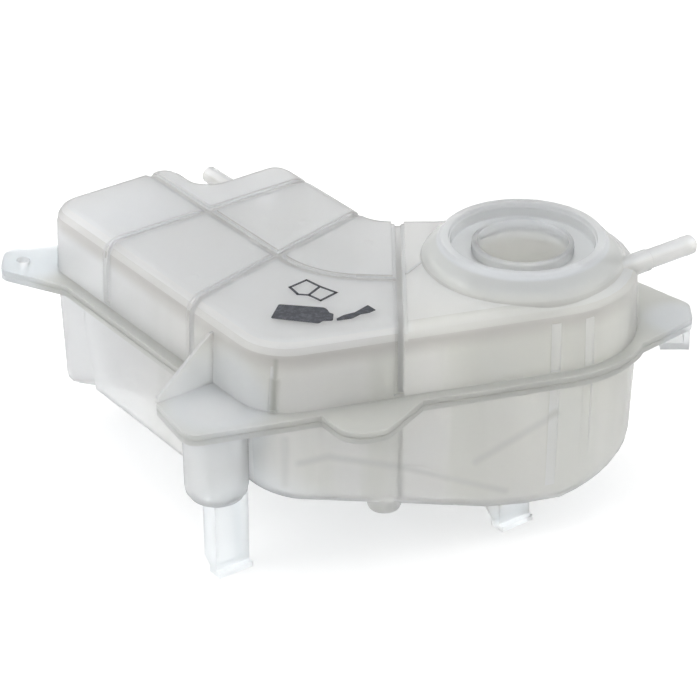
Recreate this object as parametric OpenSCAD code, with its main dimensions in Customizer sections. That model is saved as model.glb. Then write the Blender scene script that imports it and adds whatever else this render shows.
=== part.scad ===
// Coolant expansion tank, moulded in two halves that are welded at a flange.
// The origin is the centre of the filler tube's mouth. +X runs along the neck arm,
// +Y is away from the printed side, +Z is up, so all but the rim lies below the origin.

/* [Tank plan] */
// Angle of the block's long sides to the neck arm, in degrees
block_turn = 53.4; // [45:0.1:60]
// Neck axis to the block's near side wall
block_near = 161.5; // [150:0.5:175]
// Width of the block between its two long side walls
block_w = 131; // [125:0.5:137]
// Neck axis to the block's end wall, along the block
block_end = 198.5; // [192:0.5:206]
// Depth of the notch in the block's end wall
notch_d = 32; // [26:0.5:38]
// Width of that notch
notch_w = 49.5; // [44:0.5:56]
// Angle of the front wall to the neck arm, in degrees
front_turn = 16.9; // [14:0.1:19]
// Neck axis to the front wall
front_reach = 56.5; // [56:0.1:58]
// Neck axis to the back wall of the neck arm
back_y = 46.5; // [42:0.5:50]
// Radius of the round chamber under the neck
chamber_r = 59.5; // [58.5:0.1:60]
// Radius in plan of the front corner
front_corner_r = 30; // [24:1:36]
// Radius in plan of the block's end corner beside the left ear
end_corner_r = 18; // [16:0.5:24]
// Radius in plan of the corners beside the notch
notch_corner_r = 13.5; // [13:0.5:16]
// Radius in plan of the inside corners
inner_corner_r = 9; // [6:0.5:10]

/* [Tank heights below the filler tube's mouth] */
// Top face
top_drop = 8.8; // [8:0.1:11]
// Weld seam
seam_drop = 47.8; // [44:0.1:52]
// Bottom of the round chamber
deep_drop = 124; // [122:0.1:126]
// Floor at the front corner, where the ramp to the chamber starts
ramp_drop = 93.8; // [90:0.1:97]
// Highest part of the floor, the arch between block and ramp
arch_drop = 84.8; // [82:0.1:88]
// Floor at the block's end wall
end_drop = 121.8; // [116:0.1:125]
// Underside of the feet
foot_drop = 144.8; // [142:0.1:150]

/* [Walls] */
// Wall thickness
wall = 2.8; // [2:0.1:3.2]
// Rounding of the top edges
top_round = 9; // [7:0.5:10]
// Rounding of the bottom edges
bottom_round = 9; // [7:0.5:10]
// Inward slope of the upper walls over their height
draft_top = 1.2; // [0.5:0.1:2]
// Inward slope of the lower walls over their height
draft_bottom = 1.8; // [1:0.1:3]
// Thickness of each flange
flange_t = 3; // [2.5:0.1:4]
// Reach of the flange beyond the walls
flange_w = 6; // [5:0.1:8]
// Thickness of the baffles inside
baffle_t = 2.2; // [1.8:0.1:3]

/* [Grooves] */
// Width of the grooves over the baffles
groove_w = 6.5; // [5:0.1:8]
// Width of their narrow bottom
groove_floor_w = 3; // [2:0.1:4]
// Depth of the grooves
groove_d = 1.6; // [1:0.1:1.8]
// Groove along the block, from its near side wall
long_groove = 64; // [60:0.5:68]
// First groove across the block, from its end wall
cross_groove = 61.5; // [56:0.5:66]
// Second groove across the block, from the first
cross_pitch = 77; // [72:0.5:82]
// Angle of the second cross groove to the first, in degrees
cross_skew = 13; // [8:0.5:16]
// Groove across the arm, from the neck axis
arm_groove = 62; // [61:0.5:66]
// Where the long groove starts to bend, from the neck axis along the block
bend_s = 71; // [66:0.5:76]
// Bend radius of the long groove
bend_r = 52; // [46:0.5:58]
// Heading of the long groove after its bend, in degrees
link_turn = -4; // [-10:0.5:0]

/* [Filler neck] */
// Radius of the filler bore
bore_r = 23; // [20:0.25:25]
// Wall of the filler tube
tube_t = 2.8; // [2:0.1:3.5]
// Length of the filler tube, from its mouth to its end inside the tank
tube_l = 31; // [26:0.5:38]
// Height of the rim above the filler tube's mouth
rim_rise = 3.2; // [3:0.1:5]
// Outer radius of the rim around the moat
rim_r = 42; // [41:0.25:43]
// Width of that rim
rim_w = 5.5; // [5:0.25:7]
// Depth of the moat around the filler tube
moat_d = 4.8; // [3:0.1:5.4]
// Radius where the dome meets the top face
dome_r = 51.5; // [50:0.25:52.5]

/* [Hose nipples] */
// Outer radius of the overflow nipple
overflow_r = 5; // [4:0.1:6]
// Bore radius of the overflow nipple
overflow_bore_r = 3.2; // [2.5:0.1:3.6]
// Length of the overflow nipple beyond its root
overflow_l = 57.5; // [50:0.5:64]
// Overflow nipple axis below the mouth
overflow_drop = 12.3; // [11.6:0.1:15]
// Heading of the overflow nipple, in degrees
overflow_turn = 35.7; // [30:0.1:40]
// Outer radius of the vent nipple
vent_r = 4.5; // [4:0.1:6]
// Bore radius of the vent nipple
vent_bore_r = 2.8; // [2:0.1:3.2]
// Length of the vent nipple outside the wall
vent_l = 28; // [20:0.5:32]
// Vent nipple axis below the mouth
vent_drop = 21.8; // [20:0.1:27]
// Outer radius of the outlet pipe
outlet_r = 10; // [8:0.1:11]
// Bore radius of the outlet pipe
outlet_bore_r = 7.6; // [6:0.1:8]
// Length of the outlet pipe outside the wall
outlet_l = 34; // [26:0.5:40]
// Outlet pipe axis below the mouth
outlet_drop = 103; // [98:0.5:104]

/* [Ears and feet] */
// Reach of the left ear beyond the end corner
left_ear_l = 22.5; // [18:0.5:28]
// Radius of the bolt hole in the left ear
left_hole_r = 3.5; // [2.5:0.1:4.5]
// Reach of the front corner ear beyond the near side wall
corner_ear_w = 33; // [28:0.5:38]
// Thickness of the gusset on that ear
gusset_t = 2; // [1.6:0.1:3]
// Height of the gusset above the flange
gusset_h = 27.5; // [20:0.5:28]
// Where that gusset stands along the block, from the neck axis
gusset_s = 41; // [36:0.5:46]
// Reach of the front tab beyond the flange
tab_l = 21; // [14:0.5:24]
// Width of the front tab
tab_w = 46; // [38:0.5:52]
// Reach of the right ear from the neck axis
right_ear_x = 88; // [82:0.5:92]
// Depth of the clip under the right ear
clip_h = 11.5; // [9:0.5:14]
// Radius of the round column at the front corner
column_r = 16; // [14:0.5:16.5]
// Bottom of that column
column_drop = 96; // [94:0.5:99]
// Where the skirt beside the column ends along the block, from the neck axis
skirt_to = 150; // [140:0.5:156]
// Bottom of the skirt
skirt_drop = 94.8; // [88:0.1:98]
// Thickness of the skirt
skirt_t = 2; // [1.6:0.1:3]
// Thickness of the feet
foot_t = 3; // [2.4:0.1:4]
// Width of the feet
foot_w = 20; // [16:0.5:24]

/* [Level sensor] */
// Radius of each sensor pin
pin_r = 1.6; // [1.2:0.1:2]
// Distance between the sensor pins
pin_pitch = 9; // [8:0.1:12]
// Length of each sensor pin
pin_l = 26; // [22:0.5:30]
// Inner radius of the plug socket around the pins
socket_r = 9.5; // [9:0.1:11]
// Depth of the plug socket
socket_h = 11; // [8:0.5:12]
// Clearance around each sensor pin
pin_clear = 0.05; // [0.02:0.01:0.1]

/* [Hidden] */

arc_step = 10;
round_steps = 4;
over = 1;
// How far a straight baffle or groove runs past the bend's ends, and how much thinner the bend is.
past = 2;
bend_slim = 0.2;
// Baffles stop this far from the seam, and each one, as each groove, lies a little off the one before,
// so that no two of them share a face.
baffle_gap = 0.2;
stagger = 0.06;

block_heading = -block_turn;
side_heading = 90 - block_turn;
end_heading = 180 - block_turn;
seam_z = -seam_drop;
top_z = -top_drop;
flange_top_z = seam_z + flange_t;
flange_low_z = seam_z - flange_t;

// Each wall is [direction that it faces, distance from the neck axis], counter-clockwise from the front.
WALLS = [
    [front_turn - 90, front_reach],
    [0, chamber_r],
    [60, chamber_r],
    [117, chamber_r],
    [90, back_y],
    [side_heading, block_w - block_near],
    [end_heading, block_end - notch_d],
    [side_heading, block_w - block_near - notch_w],
    [end_heading, block_end],
    [side_heading + 180, block_near]
];
// The nose's arc touches the front wall, and the chamber's own arc at this y.
nose_y = -1.7;
nose_r = (front_reach + nose_y * cos(front_turn) - chamber_r * sin(front_turn)) / (1 - sin(front_turn));
// Corner i lies between wall i and the next: [radius, whether its arc runs straight on into the next arc].
CORNERS = [
    [nose_r, false],
    [chamber_r, true],
    [chamber_r, false],
    [inner_corner_r + 5, false],
    [inner_corner_r + 5, false],
    [notch_corner_r, false],
    [inner_corner_r, false],
    [notch_corner_r, false],
    [end_corner_r, false],
    [front_corner_r, false]
];
SPLITS = [[], [], [], [0.5], [], [], [], [], [0.25, 0.5, 0.75], [0.2, 0.4, 0.55, 0.7, 0.85]];
// A point that sees every wall, so that floors and roofs are fans around it.
hub = [-118, -28];

function dir(a) = [cos(a), sin(a)];
function cross2(a, b) = a[0] * b[1] - a[1] * b[0];
function turned(v, a) = [v[0] * cos(a) - v[1] * sin(a), v[0] * sin(a) + v[1] * cos(a)];
function across(a) = [-sin(a), cos(a)];

// Where two walls cross, each pulled in by inset.
function meet(a, b, inset) =
    let (m = dir(a[0]), n = dir(b[0]), d = a[1] - inset, e = b[1] - inset, k = cross2(m, n))
    [(d * n[1] - e * m[1]) / k, (m[0] * e - n[0] * d) / k];

// The arc that rounds a corner between edges running along headings a and b.
function corner_arc(p, a, b, r, steps, last) =
    let (
        turn = (b - a + 540) % 360 - 180,
        side = turn > 0 ? 1 : -1,
        start = p - dir(a) * r * tan(abs(turn) / 2),
        centre = start + side * r * across(a)
    )
    [for (k = [0 : last]) centre + turned(start - centre, turn * k / steps)];

function arc_steps(a, b) = ceil(abs((b - a + 540) % 360 - 180) / arc_step);

// The arc at corner i of the plan, pulled in by inset.
function corner(i, inset) =
    let (
        w = WALLS[i],
        n = WALLS[(i + 1) % len(WALLS)],
        convex = (n[0] - w[0] + 540) % 360 - 180 > 0,
        r = convex ? max(CORNERS[i][0] - inset, 0.6) : CORNERS[i][0] + inset,
        steps = arc_steps(w[0], n[0])
    )
    corner_arc(meet(w, n, inset), w[0] + 90, n[0] + 90, r, steps, CORNERS[i][1] ? steps - 1 : steps);

// The tank's plan outline, pulled in by inset. A long wall takes extra points after the corner before
// it, at the parts of its length given in SPLITS, so that the floor's creases show in its lower edge.
function outline(inset) =
    let (n = len(WALLS), arcs = [for (i = [0 : n - 1]) corner(i, inset)])
    [
        for (i = [0 : n - 1])
            let (a = arcs[i], p = a[len(a) - 1], q = arcs[(i + 1) % n][0])
            each concat(a, [for (f = SPLITS[i]) p + (q - p) * f])
    ];

// A closed outline from sharp corners [x, y, radius], counter-clockwise.
function rounded(c) = [
    for (i = [0 : len(c) - 1])
        let (
            p = [c[i][0], c[i][1]],
            before = c[(i + len(c) - 1) % len(c)],
            after = c[(i + 1) % len(c)],
            a = atan2(p[1] - before[1], p[0] - before[0]),
            b = atan2(after[1] - p[1], after[0] - p[0]),
            steps = max(1, arc_steps(a, b))
        )
        each (c[i][2] > 0 ? corner_arc(p, a, b, c[i][2], steps, steps) : [p])
];

function at_height(ring, z) = [for (p = ring) [p[0], p[1], z]];

// Height of the tank's floor: an arch, with a ramp to the chamber on one side and one to the block's
// end on the other.
ramp_x0 = -134;
ramp_x1 = -11;
arch_s = 104;
nose_x = 19.6;
nose_slope = 0.33;
function floor_z(p) =
    let (
        s = p[0] * cos(end_heading) + p[1] * sin(end_heading),
        ramp = -ramp_drop - (deep_drop - ramp_drop) * (p[0] - ramp_x0) / (ramp_x1 - ramp_x0),
        fall = -arch_drop - (end_drop - arch_drop) * (s - arch_s) / (block_end - arch_s),
        nose = -deep_drop + nose_slope * (p[0] - nose_x)
    )
    max(-deep_drop, nose, min(-arch_drop, ramp, fall));

// Triangles over a stack of rings of equal length, closed by fans to a lowest and a highest point.
module stack(rings, low, high) {
    n = len(rings[0]);
    m = len(rings);
    points = [for (r = rings) each r, low, high];
    faces = [
        for (j = [0 : m - 2], i = [0 : n - 1])
            let (k = (i + 1) % n)
            each [
                [j * n + i, (j + 1) * n + i, (j + 1) * n + k],
                [j * n + i, (j + 1) * n + k, j * n + k]
            ],
        for (i = [0 : n - 1]) [m * n, i, (i + 1) % n],
        for (i = [0 : n - 1]) [m * n + 1, (m - 1) * n + (i + 1) % n, (m - 1) * n + i]
    ];
    polyhedron(points = points, faces = faces);
}

// The upper body: walls, rounded edge and flat roof. skin is the depth below the outer surface.
module upper_body(skin, base_z) {
    roof_z = top_z - skin;
    r = top_round - skin / 2;
    rings = [
        at_height(outline(skin), base_z),
        for (k = [0 : round_steps])
            let (a = 90 * k / round_steps)
            at_height(outline(skin + draft_top + r * (1 - cos(a))), roof_z - r * (1 - sin(a)))
    ];
    stack(rings, [hub[0], hub[1], base_z], [hub[0], hub[1], roof_z]);
}

// The lower body: rim, walls, rounded edge and sloping floor.
module lower_body(skin, rim_z) {
    r = bottom_round - skin / 2;
    edge = outline(skin + draft_bottom + r);
    inward = [0.2, 0.45, 0.7, 0.87];
    rings = [
        for (f = inward) [for (p = edge) let (q = hub + f * (p - hub)) [q[0], q[1], floor_z(q) + skin]],
        for (k = [round_steps : -1 : 0])
            let (a = 90 * k / round_steps)
            [for (p = outline(skin + draft_bottom + r * (1 - cos(a))))
                [p[0], p[1], floor_z(p) + skin + r * (1 - sin(a))]],
        at_height(outline(skin), rim_z)
    ];
    stack(rings, [hub[0], hub[1], floor_z(hub) + skin], [hub[0], hub[1], rim_z]);
}

// Plan point from distances along the block: s towards its end wall, t towards the neck side.
function block_point(s, t) = dir(end_heading) * s + dir(side_heading) * t;

near_t = -block_near;
far_t = block_w - block_near;
long_t = near_t + long_groove;
cross_s = block_end - cross_groove;
second_s = cross_s - cross_pitch;
bend_start = block_point(bend_s, long_t);
bend_centre = bend_start + dir(side_heading) * bend_r;
bend_end = bend_centre - bend_r * across(link_turn);

// Grooves and the baffles under them: [start, heading, length].
long_run = [block_point(block_end, long_t), block_heading, block_end - bend_s];
cross_run = [block_point(cross_s, near_t), side_heading, block_w];
second_run = [block_point(second_s, near_t), side_heading + cross_skew, block_w / cos(cross_skew)];
arm_front_y = -(front_reach + arm_groove * sin(front_turn)) / cos(front_turn);
arm_run = [[-arm_groove, arm_front_y], 90, back_y - arm_front_y];
link_run = [bend_end, link_turn, -arm_groove - bend_end[0] - past];
// Each run with whether its two ends meet an outer wall.
RUNS = [
    [long_run, true, false],
    [cross_run, true, true],
    [second_run, true, true],
    [arm_run, true, true],
    [link_run, false, false]
];

// Section of the upper body along a run, pulled in by d, with rounded shoulders where the run
// meets an outer wall, and square ends elsewhere.
function roof_section(len, low_z, d, start_open, end_open) = [
    if (start_open) each [
        [d, low_z],
        for (k = [0 : 4])
            [d + draft_top + top_round * (1 - cos(22.5 * k)), top_z - d - top_round * (1 - sin(22.5 * k))]
    ] else each [[-past, low_z], [-past, top_z - d]],
    if (end_open) each [
        for (k = [4 : -1 : 0])
            [len - d - draft_top - top_round * (1 - cos(22.5 * k)),
                top_z - d - top_round * (1 - sin(22.5 * k))],
        [len - d, low_z]
    ] else each [[len + past, top_z - d], [len + past, low_z]]
];

// Section of the lower body along a run, pulled in by d, down to the sloping floor.
function floor_section(run, high_z, d, start_open, end_open) =
    let (
        in0 = start_open ? d : -past,
        in1 = run[2] + (end_open ? -d : past),
        foot0 = in0 + (start_open ? draft_bottom : 0),
        foot1 = in1 - (end_open ? draft_bottom : 0),
        edge0 = foot0 + (start_open ? bottom_round : 0),
        edge1 = foot1 - (end_open ? bottom_round : 0),
        steps = 8,
        at = function (x) floor_z(run[0] + dir(run[1]) * x) + d
    )
    [
        [in0, high_z],
        if (start_open) each [
            for (k = [0 : 3]) let (x = foot0 + bottom_round * (1 - cos(22.5 * k)))
                [x, at(x) + bottom_round * (1 - sin(22.5 * k))]
        ],
        for (k = [0 : steps]) let (x = edge0 + (edge1 - edge0) * k / steps) [x, at(x)],
        if (end_open) each [
            for (k = [3 : -1 : 0]) let (x = foot1 - bottom_round * (1 - cos(22.5 * k)))
                [x, at(x) + bottom_round * (1 - sin(22.5 * k))]
        ],
        [in1, high_z]
    ];

// A plate of thickness t that stands along a run, with the given section.
module plate(run, t, section) {
    translate([run[0][0], run[0][1], 0])
        rotate(run[1])
            translate([0, t / 2, 0])
                rotate([90, 0, 0])
                    linear_extrude(t)
                        polygon(section);
}

// Curved stretch between the long run and the arm run.
module bend(t, z0, z1) {
    translate([bend_centre[0], bend_centre[1], z0])
        rotate(block_heading - 90)
            rotate_extrude(angle = block_turn + link_turn, $fn = 96)
                translate([bend_r - (t - bend_slim) / 2, 0])
                    square([t - bend_slim, z1 - z0]);
}

// Section of a groove: what lies outside the tank's section, pulled in by d.
module groove_section(len, d, start_open, end_open) {
    difference() {
        translate([start_open ? -past : over - past, flange_top_z + d])
            square([len + 2 * past - (start_open ? 0 : over) - (end_open ? 0 : over),
                top_z + over - flange_top_z]);
        polygon(roof_section(len, flange_top_z - over, d, start_open, end_open));
    }
}

module groove(run, start_open, end_open, deeper) {
    for (g = [[groove_w, groove_d / 2], [groove_floor_w, groove_d]])
        translate([run[0][0], run[0][1], 0])
            rotate(run[1])
                translate([0, g[0] / 2, 0])
                    rotate([90, 0, 0])
                        linear_extrude(g[0])
                            groove_section(run[2], g[1] + deeper, start_open, end_open);
}

// Shallow vertical flutes beside the chamber's nose, where its cross walls meet the skin.
FLUTES = [[front_turn - 90, -7.7], [-61.7, 0]];
flute_w = 5;
flute_d = 0.8;
nose_at = meet(WALLS[0], WALLS[1], nose_r);
module flutes(z0, z1, skin) {
    for (f = FLUTES)
        translate([nose_at[0], nose_at[1], z0])
            rotate(f[0])
                translate([nose_r - skin - flute_d, f[1] - flute_w / 2, 0])
                    cube([3 * flute_d, flute_w, z1 - z0]);
}

// Plan outlines that the two flanges share. An ear's corners are [x, y, radius], counter-clockwise.
left_tip = block_point(block_end, near_t) - [left_ear_l, 2];
left_hole = left_tip + [11, 3];
// From the left ear's tip
LEFT_EAR = [[0, -8, 7], [36, -26, 0], [60, 10, 0], [26, 20, 0], [0, 15, 9]];
RIGHT_EAR = [
    [chamber_r - 5, -30, 0],
    [right_ear_x, 0, 5],
    [right_ear_x, 16, 8],
    [chamber_r - 15.5, chamber_r - 0.5, 12],
    [10, chamber_r - 1.5, 0]
];
front_in = front_reach + flange_w;
function front_point(along, out) = dir(front_turn - 90) * (front_in + out) + dir(front_turn) * along;
ear_out = near_t - corner_ear_w;
// Where the corner ear's outer corner and its end lie along the front wall
ear_tip_along = -190;
ear_end_along = -120;
// Where the front tab lies along the front wall, and how far it is sunk in the flange
tab_along = -101;
tab_sunk = 2;

module flange_plan() {
    polygon(outline(-flange_w));
    polygon(rounded([for (c = LEFT_EAR) [left_tip[0] + c[0], left_tip[1] + c[1], c[2]]]));
    polygon(rounded([
        concat(block_point(gusset_s, near_t + 6), 0),
        concat(block_point(gusset_s, ear_out), 3),
        concat(front_point(ear_tip_along, 0), 9),
        concat(front_point(ear_end_along, 0), 0)
    ]));
    polygon(rounded([
        concat(front_point(tab_along - tab_w / 2, -tab_sunk), 0),
        concat(front_point(tab_along - tab_w / 3, tab_l), 14),
        concat(front_point(tab_along + tab_w / 12, tab_l), 12),
        concat(front_point(tab_along + tab_w / 2 + 8, -tab_sunk), 0)
    ]));
    polygon(rounded(RIGHT_EAR));
}

module flange(z0) {
    translate([0, 0, z0])
        linear_extrude(flange_t)
            difference() {
                flange_plan();
                polygon(outline(wall / 2));
                translate(left_hole)
                    circle(r = left_hole_r, $fn = 48);
            }
}

// The filler tube, its moat, rim and dome as one turned profile.
module neck() {
    tube_r = bore_r + tube_t;
    rim_in_r = rim_r - rim_w;
    under = -moat_d - wall;
    rotate_extrude($fn = 96)
        polygon([
            [bore_r, -tube_l],
            [tube_r, -tube_l],
            [tube_r, under],
            [rim_r + 1.5, under],
            [rim_r + 5, top_z - wall + 1.2],
            [dome_r, top_z - wall + 0.4],
            [dome_r, top_z - 0.5],
            [dome_r - 0.9, top_z + 1.3],
            [(2 * dome_r + rim_r) / 3, top_z + 4],
            [(dome_r + 2 * rim_r) / 3, top_z + 7.4],
            [rim_r + 0.8, rim_rise - 2.6],
            [rim_r, rim_rise - 1.4],
            [rim_r - 0.5, rim_rise - 0.5],
            [rim_r - 1.6, rim_rise],
            [rim_in_r + 1.8, rim_rise],
            [rim_in_r + 0.8, rim_rise - 0.5],
            [rim_in_r + 0.5, rim_rise - 2.4],
            [rim_in_r, rim_rise - 2.8],
            [rim_in_r - 0.4, -moat_d],
            [tube_r, -moat_d],
            [tube_r, -0.9],
            [tube_r - 0.9, 0],
            [bore_r, 0]
        ]);
}

// A hose nipple along +X from the origin, thicker up to root_l, with a low bead near its end.
collar_w = 0.6;
collar_out = 4;
bead_h = 0.2;
tip_bevel = 1.2;
module nipple(r, len, root_l) {
    rotate([0, 90, 0])
        rotate_extrude($fn = 48)
            polygon([
                [0, 0], [r + collar_w, 0], [r + collar_w, root_l], [r, root_l + collar_w],
                [r, len - 7], [r + bead_h, len - 5.6], [r + bead_h, len - 4.2],
                [r, len - 2.4], [r, len - tip_bevel], [r - tip_bevel, len], [0, len]
            ]);
}

module along(p, heading) {
    translate(p)
        rotate(heading)
            children();
}

overflow_at = [41, -13];
overflow_root = concat(overflow_at, -overflow_drop);
overflow_in = overflow_at * dir(overflow_turn);
// Length of the overflow nipple from its root to the chamber's skin
overflow_skin_l = sqrt(overflow_in * overflow_in - overflow_at * overflow_at + chamber_r * chamber_r)
    - overflow_in;
outlet_sunk = 4;
vent_root = concat(block_point(block_end - notch_d - wall, far_t - notch_w / 2 - 4), -vent_drop);
outlet_root = [-6, chamber_r - draft_bottom - outlet_sunk, -outlet_drop];

// Thin web from the near side wall down to the corner ear.
module gusset() {
    along(concat(block_point(gusset_s, near_t), flange_top_z), side_heading + 180)
        translate([0, gusset_t / 2, 0])
            rotate([90, 0, 0])
                linear_extrude(gusset_t)
                    polygon([
                        [-4, -over], [corner_ear_w - 1, -over], [corner_ear_w - 1, 2],
                        [draft_top / 2, gusset_h], [-4, gusset_h]
                    ]);
}

// Slim wedge-shaped recess in the front corner, under the print.
corner_at = meet(WALLS[9], WALLS[0], front_corner_r);
spike_turn = -103.5;
spike_h = 26;
spike_foot_w = 4.4;
spike_tip_w = 1;
spike_d = 1.2;
module spike() {
    along(concat(corner_at, flange_top_z + 0.5), spike_turn + 90)
        translate([0, spike_d - front_corner_r, 0])
            rotate([90, 0, 0])
                linear_extrude(3)
                    polygon([
                        [-spike_foot_w / 2, 0], [spike_foot_w / 2, 0],
                        [spike_tip_w / 2, spike_h], [-spike_tip_w / 2, spike_h]
                    ]);
}

module upper_shell() {
    color("#dfe1dc")
    difference() {
        union() {
            difference() {
                upper_body(0, seam_z);
                upper_body(wall, seam_z - over);
                translate([0, 0, top_z - 4 * wall])
                    cylinder(r = rim_r + 4, h = 8 * wall, $fn = 96);
            }
            for (k = [0 : len(RUNS) - 1])
                let (r = RUNS[k], off = k * stagger)
                plate(r[0], baffle_t,
                    roof_section(r[0][2], seam_z + baffle_gap + off, wall / 2 - off, r[1], r[2]));
            bend(baffle_t, seam_z + baffle_gap - stagger, top_z - wall / 2 - stagger);
            flange(seam_z);
            gusset();
            along(overflow_root, overflow_turn)
                nipple(overflow_r, overflow_l, overflow_skin_l + collar_out);
            along(vent_root, end_heading)
                nipple(vent_r, vent_l + wall, wall + collar_out);
            neck();
        }
        for (k = [0 : len(RUNS) - 1])
            groove(RUNS[k][0], RUNS[k][1], RUNS[k][2], k * stagger);
        bend_groove();
        flutes(flange_top_z + 0.5, top_z - top_round, draft_top / 2);
        spike();
        along(overflow_root, overflow_turn)
            rotate([0, 90, 0])
                translate([0, 0, -over])
                    cylinder(r = overflow_bore_r, h = overflow_l + 2 * over, $fn = 32);
        along(vent_root, end_heading)
            translate([-wall, 0, 0])
                rotate([0, 90, 0])
                    cylinder(r = vent_bore_r, h = vent_l + 4 * wall, $fn = 32);
        air_gaps();
    }
}

module bend_groove() {
    bend(groove_w, top_z - groove_d / 2 + stagger, top_z + over);
    bend(groove_floor_w, top_z - groove_d + stagger, top_z + over);
}

// Notches at the top of the baffles, which let air pass between the cells.
gap_w = 12;
gap_h = 8;
drain_h = 14;
function gap_on(run, x) = concat(run[0] + dir(run[1]) * x, run[1] + 90);
bend_mid = side_heading + (block_turn + link_turn) / 2;
GAPS = [
    gap_on(long_run, 34),
    gap_on(long_run, 98),
    gap_on(cross_run, 30),
    gap_on(cross_run, 100),
    gap_on(second_run, 38),
    gap_on(second_run, 108),
    gap_on(arm_run, 32),
    gap_on(arm_run, 96),
    concat(bend_centre - bend_r * dir(bend_mid), bend_mid)
];
module air_gaps() {
    for (g = GAPS)
        translate([g[0], g[1], top_z - wall - gap_h])
            rotate(g[2])
                translate([-4 * baffle_t, -gap_w / 2, 0])
                    cube([8 * baffle_t, gap_w, gap_h - 0.4]);
}

// Round column under the corner ear, closed at its foot by a dome.
column_s = 20;
column_round = 9;
column_cone_h = 6;
column_bore_r = column_r - wall;
column_at = block_point(column_s, near_t + 0.6 - column_bore_r);
module column() {
    h = seam_z + column_drop;
    translate([column_at[0], column_at[1], -column_drop])
        rotate_extrude($fn = 64)
            polygon([
                [0, 0],
                for (k = [0 : 4])
                    [column_r - column_round * (1 - sin(22.5 * k)), column_round * (1 - cos(22.5 * k))],
                [column_r, h], [0, h]
            ]);
}

module column_bore() {
    translate([column_at[0], column_at[1], 0]) {
        translate([0, 0, -column_drop + wall + column_cone_h])
            cylinder(r = column_bore_r, h = column_drop, $fn = 64);
        translate([0, 0, -column_drop + wall])
            cylinder(r1 = column_bore_r - column_cone_h, r2 = column_bore_r, h = column_cone_h, $fn = 64);
    }
}

// Thin skirt under the flange's near edge, from the column to the middle of the block.
skirt_end_h = 12;
skirt_slant = 8;
module skirt() {
    len = skirt_to - column_s - 12;
    along(concat(block_point(skirt_to, near_t - flange_w + skirt_t), 0), block_heading)
        rotate([90, 0, 0])
            linear_extrude(skirt_t)
                polygon([
                    [0, seam_z - over], [0, seam_z - skirt_end_h], [skirt_slant, -skirt_drop],
                    [len, -skirt_drop], [len, seam_z - over]
                ]);
}

// A foot: a flat leg with a small hooked toe, along the heading given, between two side webs.
toe_l = 3;
web_l = 9;
web_rise = 8;
module foot(p, heading, top) {
    along([p[0], p[1], -foot_drop], heading) {
        translate([-foot_w / 2, -foot_t / 2, 0])
            cube([foot_w, foot_t, top + foot_drop]);
        translate([-foot_w / 2, -foot_t / 2 - toe_l, 0])
            cube([foot_w, foot_t + 2 * toe_l, foot_t]);
        for (x = [-foot_w / 2, foot_w / 2 - foot_t])
            translate([x, 0, 0])
                rotate([90, 0, 90])
                    linear_extrude(foot_t)
                        polygon([
                            [0, 0], [web_l, web_rise], [web_l, top + foot_drop], [0, top + foot_drop]
                        ]);
    }
}

// Each foot is [plan position, heading, top].
FEET = [
    [[-146, -78], side_heading, -ramp_drop + 2.8],
    [[-3, -36], side_heading, -deep_drop + 1.8],
    [[-150, 74], side_heading, -(arch_drop + end_drop) / 2 + 2]
];

// Small clip that hangs from the right ear, with a window for a tie.
clip_l = 15;
clip_w = 8;
clip_bar = 3;
clip_sill = 4;
clip_window_h = 5;
module clip() {
    translate([right_ear_x - clip_l - 1, -1, flange_low_z - clip_h])
        difference() {
            cube([clip_l, clip_w, clip_h + 1]);
            translate([clip_bar, -over, clip_sill])
                cube([clip_l - 2 * clip_bar, clip_w + 2 * over, clip_window_h]);
        }
}

// Plug socket for the level sensor under the chamber, on a solid pad.
socket_at = [-12, chamber_r - 35.5];
socket_t = 2;
module sensor_socket() {
    translate([socket_at[0], socket_at[1], -deep_drop - socket_h])
        difference() {
            cylinder(r = socket_r + socket_t, h = socket_h + wall + 2, $fn = 64);
            translate([0, 0, -over])
                cylinder(r = socket_r, h = socket_h + over, $fn = 64);
        }
}

// Round pad under the floor's front edge, at the foot of the groove across the arm.
pad_at = [-69.5, -69];
pad_r = 8.5;
pad_drop = 3.5;
module floor_pad() {
    translate([pad_at[0], pad_at[1], floor_z(pad_at) - pad_drop])
        rotate_extrude($fn = 48)
            polygon([[0, 0], [pad_r - 1.6, 0], [pad_r - 0.5, 0.5], [pad_r, 1.6], [pad_r, 12], [0, 12]]);
}

module lower_shell() {
    color("#d8dad4")
    difference() {
        union() {
            difference() {
                union() {
                    lower_body(0, seam_z);
                    floor_pad();
                }
                lower_body(wall, seam_z + over);
            }
            for (k = [0 : len(RUNS) - 1])
                let (r = RUNS[k], off = k * stagger)
                plate(r[0], baffle_t,
                    floor_section(r[0], seam_z - baffle_gap - off, wall / 2 - off, r[1], r[2]));
            bend(baffle_t, seam_z - 44, seam_z - baffle_gap + stagger);
            flange(flange_low_z);
            column();
            skirt();
            clip();
            for (f = FEET)
                foot(f[0], f[1], f[2]);
            along(outlet_root, 90)
                nipple(outlet_r, outlet_l + outlet_sunk, outlet_sunk + collar_out);
            sensor_socket();
        }
        column_bore();
        flutes(-deep_drop + bottom_round + 4, flange_low_z - 0.5, draft_bottom / 2);
        along(outlet_root, 90)
            translate([-8, 0, 0])
                rotate([0, 90, 0])
                    cylinder(r = outlet_bore_r, h = outlet_l + 14, $fn = 48);
        drain_gaps();
        for (k = [-1, 1])
            translate([socket_at[0] + k * pin_pitch / 2, socket_at[1], -deep_drop - socket_h])
                cylinder(r = pin_r + pin_clear, h = socket_h + 4 * wall, $fn = 32);
    }
}

// Openings through the lower baffles just above the floor.
module drain_gaps() {
    for (g = GAPS)
        let (z = floor_z([g[0], g[1]]) + wall + 3)
        translate([g[0], g[1], z])
            rotate(g[2])
                translate([-4 * baffle_t, -gap_w / 2, 0])
                    cube([8 * baffle_t, gap_w, drain_h]);
}

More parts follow.
